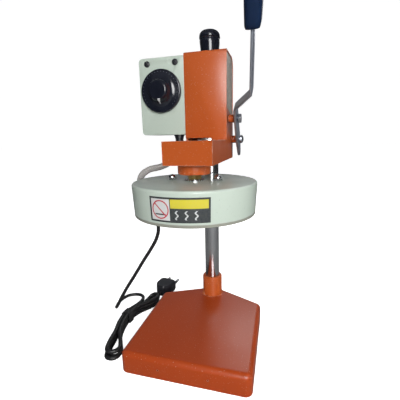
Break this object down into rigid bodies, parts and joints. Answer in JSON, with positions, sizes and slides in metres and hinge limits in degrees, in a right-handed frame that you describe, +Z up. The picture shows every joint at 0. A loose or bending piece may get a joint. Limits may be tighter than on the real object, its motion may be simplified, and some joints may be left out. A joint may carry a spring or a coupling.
{
  "type": "hand lever badge heat press",
  "caption": "Bench hot press for badges and patches: round heated platen under a box head, hand lever, chrome column, heavy base.",
  "frame": {"origin": "on the floor, at the underside of the rear foot, on the column's axis", "axes": "+Z up along the column, +X towards the lever's side, -Y towards the operator"},
  "size_m": [0.243, 0.2322, 0.4882],
  "materials": {
    "orange_enamel": "glossy orange stove enamel",
    "mint_enamel": "glossy pale mint-grey enamel",
    "hammered_grey": "speckled grey hammer finish",
    "chrome": "polished chrome plate",
    "bright_steel": "turned steel",
    "zinc_plate": "bright zinc plate",
    "brass": "turned brass",
    "aluminium": "machined aluminium",
    "ceramic_fibre": "pressed ceramic fibre",
    "black_plastic": "glossy black phenolic",
    "navy_plastic": "navy moulded plastic",
    "black_rubber": "black rubber and PVC",
    "glass_braid": "grey braided glass-fibre sleeving",
    "label_film": "printed film label, plain colour blocks"
  },
  "bodies": {
    "root": {"base_shell": "orange_enamel", "column_collar": "orange_enamel", "head_frame": "orange_enamel", "tower_cover": "orange_enamel", "plunger_guide": "orange_enamel", "control_box": "mint_enamel", "side_panel_left": "hammered_grey", "side_panel_right": "hammered_grey", "column": "chrome", "base_bottom_plate": "bright_steel", "collar_set_screw": "bright_steel", "clamp_block": "bright_steel", "clamp_screw": "bright_steel", "fulcrum_block": "bright_steel", "fulcrum_pin": "bright_steel", "return_spring": "bright_steel", "spring_hanger": "bright_steel", "control_box_back": "bright_steel", "thermostat_body": "bright_steel", "pivot_spacer": "bright_steel", "guide_bush": "brass", "spindle_nut": "brass", "plug_pin_1": "brass", "plug_pin_2": "brass", "cable_gland": "black_plastic", "box_screw_1": "black_plastic", "box_screw_2": "black_plastic", "rubber_foot_1": "black_rubber", "rubber_foot_2": "black_rubber", "rubber_foot_3": "black_rubber", "rubber_foot_4": "black_rubber", "rubber_foot_5": "black_rubber", "mains_cord": "black_rubber", "cord_hank": "black_rubber", "plug_body": "black_rubber", "cable_sleeve": "glass_braid", "heater_lead": "glass_braid"},
    "lever": {"lever_bar": "zinc_plate", "lever_grip": "navy_plastic", "lever_shaft": "zinc_plate", "guide_bolt": "zinc_plate", "guide_spacer": "bright_steel", "lever_cam": "bright_steel"},
    "rocker": {"rocker": "bright_steel"},
    "platen": {"plunger": "bright_steel", "hub_washer": "bright_steel", "hub_nut": "brass", "platen_cover": "mint_enamel", "heater_plate": "aluminium", "heater_element": "bright_steel", "insulation_disc": "ceramic_fibre", "platen_stud_1": "bright_steel", "platen_stud_2": "bright_steel", "platen_nut_1": "bright_steel", "platen_nut_2": "bright_steel", "platen_label": "label_film"},
    "dial": {"thermostat_shaft": "bright_steel", "thermostat_dial": "black_plastic"},
    "knob": {"tension_spindle": "bright_steel", "tension_knob": "black_plastic"}
  },
  "joints": [
    {"name": "lever_hinge", "type": "hinge", "parent": "root", "child": "lever", "pos_m": [0, -0.014, 0.304], "axis": [1, 0, 0], "range_deg": [0, 30], "stiffness_Nm_per_rad": 2, "springref_deg": -45.84},
    {"name": "rocker_hinge", "type": "hinge", "parent": "root", "child": "rocker", "pos_m": [0, 0, 0.285], "axis": [1, 0, 0], "range_deg": [0, 10.2], "deforming": ["return_spring"]},
    {"name": "platen_slide", "type": "slide", "parent": "root", "child": "platen", "axis": [0, 0, -1], "range_m": [0, 0.0164], "deforming": ["heater_lead"]},
    {"name": "thermostat_turn", "type": "hinge", "parent": "root", "child": "dial", "pos_m": [-0.0615, -0.0364, 0.3425], "axis": [0, 1, 0], "range_deg": [0, 270]},
    {"name": "knob_turn", "type": "hinge", "parent": "root", "child": "knob", "pos_m": [0, 0, 0.4], "axis": [0, 0, 1], "continuous": true}
  ],
  "couplings": [
    {"joint": "rocker_hinge", "follows": "lever_hinge", "ratio": 0.338},
    {"joint": "platen_slide", "follows": "lever_hinge", "m_per_rad": 0.0312}
  ]
}
